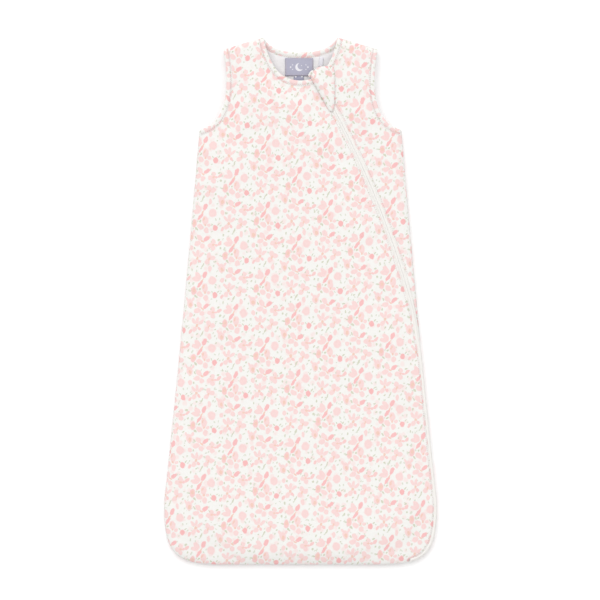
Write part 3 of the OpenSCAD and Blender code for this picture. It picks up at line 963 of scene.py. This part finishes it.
lining("inner_front", loop_main, 2.2, front_lining_z, 6.0, "cloth_front", BENDS, "front_lining", "flap_lining")
lining("inner_side", loop_side[loop_side[:, 1] > 40], 2.2, front_lining_z, 9.0, "cloth_side", "root", "side_lining")
lining("inner_back", loop_back, 2.4, back_lining_z, 9.0, "cloth_back", "root", "back_lining")

# ------------------------------------------------------------------ bindings and stitches
# Section of a binding, in from its edge and up: over the top, round the nose and back below.
SECTION = [(BIND_W, -0.25), (BIND_W - 0.25, 0.42), (BIND_W - 0.9, 0.50), (BIND_W - 1.5, 0.30), (BIND_W - 2.1, 0.50),
           (BIND_W - 2.6, 0.30), (BIND_W - 3.4, 0.72), (4.4, 0.95), (3.0, 1.0), (1.8, 0.85), (0.9, 0.5), (0.25, -0.1),
           (-0.05, -0.9), (0.05, -1.8), (0.5, -2.6),
           (1.4, -3.2), (3.0, -3.45), (5.5, -3.4), (BIND_W - 1.0, -3.3), (BIND_W - 0.3, -2.9)]
SECTION_T = 3.45
STITCH_IN = (BIND_W - 1.5, BIND_W - 2.6)
STITCH_UP = 0.42


def stitches(name, points, length=2.3, pitch=3.1, radius=0.24, start=1.0):
    """A row of thread stitches that dip into the cloth at each end."""
    s = lengths(points)
    verts, faces, uvs = [], [], []
    along = ((-0.5, 0.30, -0.30), (-0.36, 0.9, 0.06), (0.0, 1.0, 0.16), (0.36, 0.9, 0.06), (0.5, 0.30, -0.30))
    sides = 6
    for c in np.arange(start + length / 2, s[-1] - length / 2, pitch):
        t = at_length(c + 0.4, s, points) - at_length(c - 0.4, s, points)
        t /= np.linalg.norm(t)
        side = np.cross(t, (0, 0, 1.0))
        side /= np.linalg.norm(side)
        up = np.cross(side, t)
        rows = []
        for (a, r, h) in along:
            centre = at_length(c + a * length, s, points) + up * h
            angles = [2 * math.pi * j / sides for j in range(sides)]
            rows.append([centre + radius * r * (math.cos(a2) * side * 1.15 + math.sin(a2) * up) for a2 in angles])
            uvs += [(c + a * length, radius * a2) for a2 in angles]
        v, f = swept(np.array(rows))
        faces += [tuple(len(verts) + i for i in reversed(face)) for face in f]
        verts += list(v)
    return make(name, np.array(verts), faces, M_THREAD, np.array(uvs))


def bound_edge(name, path, height, thickness, body, *nodes):
    """A folded strip wrapped over an open edge, and its two rows of stitches. The cloth lies to the path's right."""
    even = resampled(path, 3.0)
    s = lengths(even)
    rows, uvs = [], []
    around = lengths(np.array(SECTION))
    for k, (u, dz) in enumerate(SECTION):
        p = moved(even, -u)
        ripple = noises(p, (1, lambda x, y: (x / 7, y / 7, 2.2)))
        rise = dz * thickness / SECTION_T if dz < 0 else dz + 0.16 * ripple * smooth((BIND_W - u) / 3)
        rows.append(np.column_stack([p, height(p) + rise]))
        uvs.append(np.column_stack([0.8 * s + 0.6 * around[k] + 11, -0.6 * s + 0.8 * around[k] + 37]))
    verts, faces = swept(np.stack(rows, 1))
    place(make("bind_" + name, verts, faces, M_BIAS, np.stack(uvs, 1).reshape(-1, 2)), body, "printed_cotton", *nodes)
    for k, u in enumerate(STITCH_IN):
        p = moved(resampled(path, 2.0), -u)
        place(stitches(f"stitch_{name}_{k}", np.column_stack([p, height(p) + STITCH_UP])), body)


def back_top_z(p):
    return back_z(p, rise=2.9)


def neck_cut(v):
    """The front neckline's length where the zip's lip at v meets it."""
    _, q, k = nearest(zip_place([0.5], v, 0)[:, :2], front_neck)
    return s_neck[k[0]] + np.linalg.norm(q[0] - front_neck[k[0]])


def neck_part(lo, hi):
    return at_length(np.linspace(lo, hi, max(4, int((hi - lo) / 3))), s_neck, front_neck)


s_neck = lengths(front_neck)
FRONT_T, BACK_T = 3.3, 2.75
bound_edge("neck_left", neck_part(0.6, neck_cut(-ZIP_HALF)), front_z, FRONT_T, BENDS, "neck_binding_flap")
bound_edge("neck_right", neck_part(neck_cut(ZIP_HALF), s_neck[-1] - 0.6), front_z, FRONT_T, "root")
bound_edge("neck_back", resampled(back_neck, 3.0)[1:-1], back_top_z, BACK_T, "root", "neck_binding")
for side, arm in (("right", armhole_r), ("left", armhole_l)):
    path = resampled(arm, 3.0)
    bound_edge(f"arm_{side}", path, front_z, FRONT_T, "root", f"armhole_binding_{side}")
    bound_edge(f"arm_{side}_back", path, back_top_z, BACK_T, "root")

# A single row beside each lip of the zip
for side, sign, end, body in (("left", -1, ZIP_END - 4, BENDS), ("right", 1, 330.0, "root")):
    p = zip_place(np.arange(12.0, end, 2.0), sign * (ZIP_HALF + 2.3), 0.0)[:, :2]
    place(stitches(f"stitch_zip_{side}", np.column_stack([p, front_z(p) + 0.05])), body)

# ------------------------------------------------------------------ the zip
TAPE_H = -1.1
TAPE_T = 0.5
# The tape's section, out from the zip's middle and up: it folds up over the chain and meets its fellow
TAPE = np.array([(0.06, 1.36), (0.8, 1.44), (1.6, 1.46), (2.2, 1.34), (2.75, 1.0), (3.3, 0.45), (4.1, 0.08),
                 (5.2, -0.15), (6.4, -0.25), (7.8, -0.25), (9.3, -0.25)])
TAPE_FLAT = 3.3           # beyond this the side's tape narrows where the seam turns under
COIL_R, COIL_THREAD, COIL_AT, COIL_H = 1.22, 0.34, 1.36, 0.74


def tape_piece(name, sign):
    s = np.arange(-0.5, ZIP_END + 0.5, 2.4)
    d0 = np.interp(s, zip_s, zip_d)
    room = np.where(d0 < 16, np.maximum(4.3, d0), 99)
    cols, uvs = [], []
    for v, h in TAPE:
        out = np.full(len(s), v)
        if sign > 0 and v > TAPE_FLAT:
            out = TAPE_FLAT + (v - TAPE_FLAT) * np.minimum(1, (room - TAPE_FLAT) / 6.0)
        cols.append(zip_place(s, sign * out, TAPE_H + h))
        uvs.append(np.column_stack([s, np.full(len(s), v)]))
    verts, faces = swept(np.stack(cols, 1), tube=False)
    if sign < 0:
        faces = [tuple(reversed(f)) for f in faces]
    return thicken(make(name, verts, faces, M_TAPE, np.stack(uvs, 1).reshape(-1, 2)), TAPE_T, offset=0.0)


def coil_piece(name, sign):
    """A nylon coil: one thread wound round and round along the tape's edge."""
    pitch, turn_points, sides, start = 1.2, 8, 5, 3.4
    n = int((ZIP_END - 0.5 - start) / pitch) * turn_points
    phase = np.arange(n) * 2 * math.pi / turn_points
    s = start + (np.arange(n) + (turn_points // 2 if sign > 0 else 0)) * pitch / turn_points
    v = COIL_AT + COIL_R * np.cos(phase)
    line = zip_place(s, sign * v, TAPE_H + COIL_H * np.sin(phase))
    t = np.gradient(line, axis=0)
    t /= np.linalg.norm(t, axis=1)[:, None]
    out = line - zip_place(s, sign * COIL_AT, TAPE_H)
    out -= t * np.sum(out * t, 1)[:, None]
    out /= np.linalg.norm(out, axis=1)[:, None]
    other = np.cross(t, out)
    angles = [2 * math.pi * j / sides for j in range(sides)]
    rounds = [line + COIL_THREAD * (math.cos(a) * out + math.sin(a) * other) for a in angles]
    verts, faces = swept(np.stack(rounds, 1))
    return make(name, verts, faces, M_COIL, np.repeat(np.column_stack([s, v]), sides, axis=0))


place(tape_piece("tape_left", -1), BENDS, "zip_tape", "zip_tape_flap", "zip_tape_lower")
place(tape_piece("tape_right", 1), "root", "zip_tape", "zip_tape_side")
place(coil_piece("coil_left", -1), BENDS, "zip_coil", "zip_coil_flap", "zip_coil_lower")
place(coil_piece("coil_right", 1), "root", "zip_coil", "zip_coil_side")


# ------------------------------------------------------------------ the zip's stops, and the strip of lining behind it
def zip_matrix(s, v=0.0):
    """A frame on the zip, level with the table: y up the zip, x to its right."""
    a = float(zip_angle(s))
    p = zip_arc(s) + v * np.array([math.cos(a), math.sin(a)])
    return Matrix.Translation((*(p * MM), 0)) @ Matrix.Rotation(a, 4, "Z")


def rounded_block(name, outline, low, high, bevel, material, matrix, segments=2):
    """A plate with rounded edges, from its outline in mm and its two heights, in a frame on the zip."""
    bm = bmesh.new()
    under, over = [[bm.verts.new((x * MM, y * MM, z * MM)) for x, y in outline] for z in (low, high)]
    bm.faces.new(list(reversed(under)))
    bm.faces.new(over)
    for i in range(len(outline)):
        j = (i + 1) % len(outline)
        bm.faces.new((under[i], under[j], over[j], over[i]))
    bmesh.ops.recalc_face_normals(bm, faces=bm.faces)
    sharp = [e for e in bm.edges if e.calc_face_angle(0) > 0.5]
    bmesh.ops.bevel(bm, geom=sharp, offset=bevel * MM, segments=segments, affect="EDGES", profile=0.5)
    mesh = bpy.data.meshes.new(name)
    bm.to_mesh(mesh)
    bm.free()
    flat_map(mesh, [tuple(p.co.xy / MM) for p in mesh.vertices])
    mesh.transform(matrix)
    shaded_smooth(mesh)
    mesh.materials.append(material)
    return linked(name, mesh)


def box_outline(w, l, cx=0.0, cy=0.0):
    return [(cx - w / 2, cy - l / 2), (cx + w / 2, cy - l / 2), (cx + w / 2, cy + l / 2), (cx - w / 2, cy + l / 2)]


for name, sign, body, node in (("stop_top_right", 1, "root", "zip_top_stop_side"),
                               ("stop_top_left", -1, FLAP, "zip_top_stop_flap")):
    place(rounded_block(name, box_outline(1.9, 2.2), 11.5, 14.3, 0.35, M_COIL, zip_matrix(2.0, sign * 1.7)),
          body, "zip_coil", node)
end_a, end_b = zip_place([ZIP_END - 2, ZIP_END + 1.2], 0, TAPE_H)
turn = math.atan2(end_b[1] - end_a[1], end_b[0] - end_a[0]) + math.pi / 2
place(rounded_block("stop_bottom", box_outline(5.6, 2.2), -1.4, 1.2, 0.35, M_COIL,
                    Matrix.Translation(tuple(end_b * MM)) @ Matrix.Rotation(turn, 4, "Z")),
      "root", "zip_coil", "zip_bottom_stop")

GUARD_HALF, GUARD_DROP = 12.0, 5.9
s = np.arange(4.0, ZIP_END - 4, 6.0)
centre = zip_place(s, 0, 0)[:, :2]
n = at_length(s, zip_s, zip_n)
right = np.clip(np.interp(s, zip_s, zip_d) - 2.2, -2, GUARD_HALF)
cols, uvs = [], []
for part in np.linspace(0, 1, 9):
    v = -GUARD_HALF + part * (right + GUARD_HALF)
    xy = centre + n * v[:, None]
    cols.append(np.column_stack([xy, front_z(xy, drop=GUARD_DROP, puffed=False)]))
    uvs.append(np.column_stack([v, s]))
verts, faces = swept(np.stack(cols, 1), tube=False)
guard = make("guard_strip", verts, faces, M_LINING, np.stack(uvs, 1).reshape(-1, 2))
thicken(guard, 0.5, offset=0.0)
place(guard, "root", "lining_jersey", "zip_guard")

# ------------------------------------------------------------------ the cloth cover over the zip's top
COVER = np.array([(14.9, 334.4), (16.8, 341.0), (21.0, 347.0), (26.0, 350.9), (33.0, 352.2), (42.0, 352.2),
                  (48.0, 351.2), (51.0, 346.5), (51.6, 338.0), (51.7, 322.0), (51.5, 306.0), (51.0, 292.0),
                  (49.6, 285.6), (46.2, 283.2), (42.3, 286.1), (36.8, 296.4), (29.4, 309.6), (21.6, 323.0)])
COVER_ROOT = np.array([(10.5, 337.6), (15.2, 335.0), (18.4, 340.6), (20.4, 345.6), (17.2, 346.6), (13.0, 342.4)])


def round_loop(p, step, times):
    for _ in range(times):
        q = np.roll(p, -1, axis=0)
        p = np.stack([0.75 * p + 0.25 * q, 0.25 * p + 0.75 * q], 1).reshape(-1, 2)
    return resampled(closed(p), step)[:-1]


def rotated(p, angle):
    c, s = math.cos(angle), math.sin(angle)
    return np.column_stack([p[:, 0] * c - p[:, 1] * s, p[:, 0] * s + p[:, 1] * c])


def pillow(v, f, upper, lower):
    """A closed piece: the same triangles at two heights, joined round their rim."""
    m = len(v)
    edges = dict.fromkeys((t[i], t[(i + 1) % 3]) for t in f for i in range(3))
    faces = f + [tuple(i + m for i in reversed(t)) for t in f]
    faces += [(b, a, a + m, b + m) for a, b in edges if (b, a) not in edges]
    return np.vstack([np.column_stack([v, upper]), np.column_stack([v, lower])]), faces


def cover_lift(p):
    """The cover rises over the slider and its pull, and lies on the cloth round them."""
    rel = p - ZIP_CENTRE
    s = (ZIP_SLOPE - np.arctan2(rel[:, 1], rel[:, 0])) * ZIP_R
    v = np.hypot(rel[:, 0], rel[:, 1]) - ZIP_R
    over = np.exp(-np.abs(v / 7.0) ** 2.6)
    return over * smooth((s + 9) / 9) * (1 - 0.42 * smooth((s - 14) / 10)) * (1 - smooth((s - 34) / 22))


v, f, rim = net_over(round_loop(COVER, 1.6, 3), 2.2, 1.3)
base = 15.3 + noises(v, (0.25, lambda x, y: (x / 9, y / 9, 4.0))) + 3.2 * cover_lift(v)
full = profile(rim / 2.2)
verts, faces = pillow(v, f, base + 0.15 + 1.25 * full + 0.35 * smooth(rim / 9), base + 0.05 - 0.15 * full)
uv = rotated(v - [36, 318], math.radians(-64)) + [12, 33]
cover = make("cover", verts, faces, M_PRINT, np.vstack([uv, uv + [0, 40]]))
place(cover, "zip_cover", "printed_cotton", "zip_cover")


def soft_tab(name, loop, low, high, material, step, edge, uv_turn=0.0, uv_shift=(0, 0)):
    """A small closed piece of cloth between two heights, softer towards its rim."""
    v, f, rim = net_over(loop, step, 0.6 * step)
    lo, hi = low(v), high(v)
    mid = (lo + hi) / 2
    full = 0.35 + 0.65 * profile(rim / edge)
    verts, faces = pillow(v, f, mid + (hi - mid) * full, mid + (lo - mid) * full)
    uv = rotated(v - v.mean(0), uv_turn) + uv_shift
    return make(name, verts, faces, material, np.vstack([uv, uv]))


# Where the cover is sewn down: a narrow fold at the end of the neck binding
place(soft_tab("cover_root", round_loop(COVER_ROOT, 1.4, 2), lambda v: 13.6, lambda v: 16.4, M_BIAS, 1.8, 1.6,
               0.8, (34, 4)), FLAP, "printed_cotton", "zip_cover_base")
bar = np.array([(13.2, 336.6, 16.35), (15.3, 340.2, 16.5), (17.0, 344.4, 16.4)])
place(stitches("stitch_cover_root", resampled(bar, 0.8), length=2.0, pitch=2.5), FLAP)


# ------------------------------------------------------------------ labels inside the back neck
def label_loop(w, l, cx, cy, turn=0.0):
    return resampled(closed(rotated(np.array(box_outline(w, l)), turn) + [cx, cy]), 1.5)[:-1]


def label_z(rise, curl):
    return lambda v: 3.75 + rise + curl * (0.5 * (v[:, 0] / 21) ** 2 + 0.3 * np.sin(v[:, 1] / 6.0 + 1.0))


def label(name, loop, low, high, curl, material, step, edge, slot, node):
    obj = soft_tab(name, loop, label_z(low, curl), label_z(high, curl), material, step, edge)
    place(obj, "root", slot, node)


label("label_woven", label_loop(42, 27, -2, 352.0), 0.35, 0.95, 0.35, M_LABEL, 1.6, 0.5,
      "woven_label", "woven_label")
label("label_size", label_loop(15, 12, -2.6, 335.4), -0.4, 0.1, 0.2, M_SIZE, 1.5, 0.4,
      "woven_label", "size_label")
label("label_care", label_loop(6.5, 15, 31.0, 359.6, -math.radians(6)), -0.25, 0.35, 0.25, M_CARE, 1.3, 0.4,
      "care_label", "care_label")
line = resampled(closed(label_loop(39.4, 24.4, -2, 352.0)), 1.0)
place(stitches("stitch_label", np.column_stack([line, label_z(0.98, 0.35)(line)]), length=1.7, pitch=2.3,
               radius=0.18), "root")

# ------------------------------------------------------------------ slider and pull
SLIDER_S = 8.3
slider_frame = zip_matrix(SLIDER_S)


def metal(name, outline, low, high, bevel, body, *nodes, segments=2):
    place(rounded_block(name, outline, low, high, bevel, M_METAL, slider_frame, segments), body, "slider_metal",
          *nodes)


def metal_sweep(name, rows, body, node):
    """A bent strip or wire, from its sections in mm in the slider's frame."""
    verts, faces = swept(rows)
    world = np.array([tuple(slider_frame @ Vector(q * MM)) for q in verts]) / MM
    place(make(name, world, faces, M_METAL, verts[:, :2]), body, "slider_metal", node)


def fan(half_top, half_low, length, top_r, low_r=1.1, n=6):
    """The slider's plate: wide shoulders above, narrower below, all corners round."""
    pts = []
    for (cx, cy, r, a0) in ((half_top - top_r, length / 2 - top_r, top_r, 0),
                            (-half_top + top_r, length / 2 - top_r, top_r, 90),
                            (-half_low + low_r, -length / 2 + low_r, low_r, 180),
                            (half_low - low_r, -length / 2 + low_r, low_r, 270)):
        for k in range(n + 1):
            a = math.radians(a0 + 90 * k / n)
            pts.append((cx + r * math.cos(a), cy + r * math.sin(a)))
    return pts


def drop(scale, cy, n=40):
    """The pull's outline: an oval, fuller at its upper end."""
    angles = [2 * math.pi * k / n for k in range(n)]
    return [(2.6 * scale * (1.0 + 0.10 * math.sin(a)) * math.cos(a), cy + 9.4 * scale * math.sin(a)) for a in angles]


plate = fan(3.7, 2.9, 10, 2.0)
metal("slider_top", plate, 14.4, 15.3, 0.3, "zip_slider", "slider_body", segments=3)
metal("slider_under", plate, 10.3, 11.2, 0.3, "zip_slider", segments=3)
metal("slider_post", box_outline(0.7, 2.5, 0, 3.2), 11.1, 14.5, 0.1, "zip_slider")
for sign, side in ((-1, "a"), (1, "b")):
    lip = box_outline(0.5, 8, sign * 3.3, -1)
    metal(f"slider_lip_{side}", lip, 13.5, 14.5, 0.12, "zip_slider")
    metal(f"slider_lip_low_{side}", lip, 11.1, 12.3, 0.12, "zip_slider")
# The bridge is one bent strip
BRIDGE = np.array([(-4.2, 15.2), (-4.15, 16.5), (-3.6, 17.15), (-2.6, 17.38), (0, 17.42), (2.6, 17.38), (3.6, 17.15),
                   (4.15, 16.5), (4.2, 15.2)])
STRIP = ((-0.9, -0.22), (-0.72, -0.3), (0.72, -0.3), (0.9, -0.22), (0.9, 0.12), (0.72, 0.26), (-0.72, 0.26),
         (-0.9, 0.12))
arch = resampled(BRIDGE, 0.45)
rows = [[(a, y - b * hz, z + b * hy) for a, b in STRIP] for (y, z), (hy, hz) in zip(arch, headings(arch))]
metal_sweep("slider_bridge_strip", rows, "zip_slider", "slider_bridge")

# The pull: a wire hinge, and a drop-shaped tab with a raised middle
metal("pull_plate", drop(0.98, -16.6), 15.85, 16.75, 0.3, "zip_pull", "pull_tab", segments=3)
metal("pull_boss", drop(0.62, -17.0), 16.7, 16.95, 0.12, "zip_pull")
HINGE_Z, WIRE_R = 16.3, 0.42
half = [(1.3, 0.05), (2.0, -0.2), (2.25, -0.9), (2.25, -4.0), (2.1, -7.2), (1.35, -8.6)]
hinge = [(-1.35, -8.6), (-2.1, -7.2), (-2.25, -4.0), (-2.25, -0.9), (-2.0, -0.2), (-1.3, 0.05), (0, 0.08)] + half
wire = resampled(np.array([(x, y, HINGE_Z) for x, y in hinge]), 0.6)
rows = []
for q, h in zip(wire, headings(wire)):
    across = np.cross(h, (0, 0, 1.0))
    across /= np.linalg.norm(across)
    rows.append([q + WIRE_R * (math.cos(a) * across + math.sin(a) * np.array([0, 0, 1.0]))
                 for a in np.linspace(0, 2 * math.pi, 9)[:-1]])
metal_sweep("pull_ring", rows, "zip_pull", "pull_pin")

# ------------------------------------------------------------------ floor and light
FLOOR_HALF, FLOOR_Z = 6.0, -0.0004
mesh = bpy.data.meshes.new("floor")
mesh.from_pydata([(x * FLOOR_HALF, y * FLOOR_HALF, FLOOR_Z) for x, y in ((-1, -1), (1, -1), (1, 1), (-1, 1))], [],
                 [(0, 1, 2, 3)])
mesh.materials.append(material("floor", lambda k: {
    "Base Color": k.mix(k.noise(k.node("TexCoord", ())["Object"], 40.0), (0.955, 0.955, 0.955, 1),
                        (0.965, 0.965, 0.965, 1)),
    "Roughness": 0.9, "Specular IOR Level": 0.1}))
linked("floor", mesh)

world = bpy.data.worlds.new("world")
scene.world = world
world.use_nodes = True
background = world.node_tree.nodes["Background"]
background.inputs[0].default_value = (1.0, 1.0, 1.0, 1)
background.inputs[1].default_value = 0.80


def soft_sun(name, strength, spread, towards):
    """A wide soft lamp: the same light everywhere, from the direction given."""
    data = bpy.data.lights.new(name, "SUN")
    data.energy = strength
    data.angle = math.radians(spread)
    obj = linked(name, data)
    obj.location = Vector(towards) * 2
    obj.rotation_euler = (-Vector(towards)).to_track_quat("-Z", "Y").to_euler()


soft_sun("key", 1.15, 60, (-0.22, 0.62, 0.75))
soft_sun("fill", 0.35, 90, (0.35, 0.15, 0.92))
scene.view_settings.view_transform = "Standard"
scene.view_settings.look = "None"
